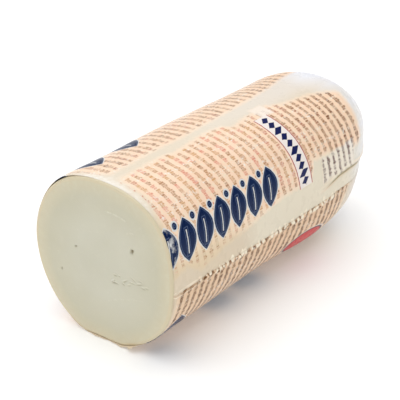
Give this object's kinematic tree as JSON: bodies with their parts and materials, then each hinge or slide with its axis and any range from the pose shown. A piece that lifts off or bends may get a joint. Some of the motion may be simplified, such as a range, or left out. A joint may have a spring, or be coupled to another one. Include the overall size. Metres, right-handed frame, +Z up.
{
  "type": "provolone cheese half",
  "caption": "Half log of provolone cheese with a flat cut face and a rounded far end, in a tight printed film that is open at the cut and has a pleat along its side.",
  "frame": {"origin": "centre of the underside of the part's box, on the surface that it lies on", "axes": "+Z up; the log lies along +Y with its cut face toward -Y; +X to the right of someone who looks at the cut face"},
  "size_m": [0.1216, 0.2854, 0.1191],
  "materials": {
    "cheese": "smooth, faintly moist cut cheese, pale ivory with a creamier rim",
    "film": "thin clear shrink film, printed with rows of small marks"
  },
  "bodies": {
    "root": {"cheese": "cheese", "wrapper": "film"}
  },
  "joints": []
}
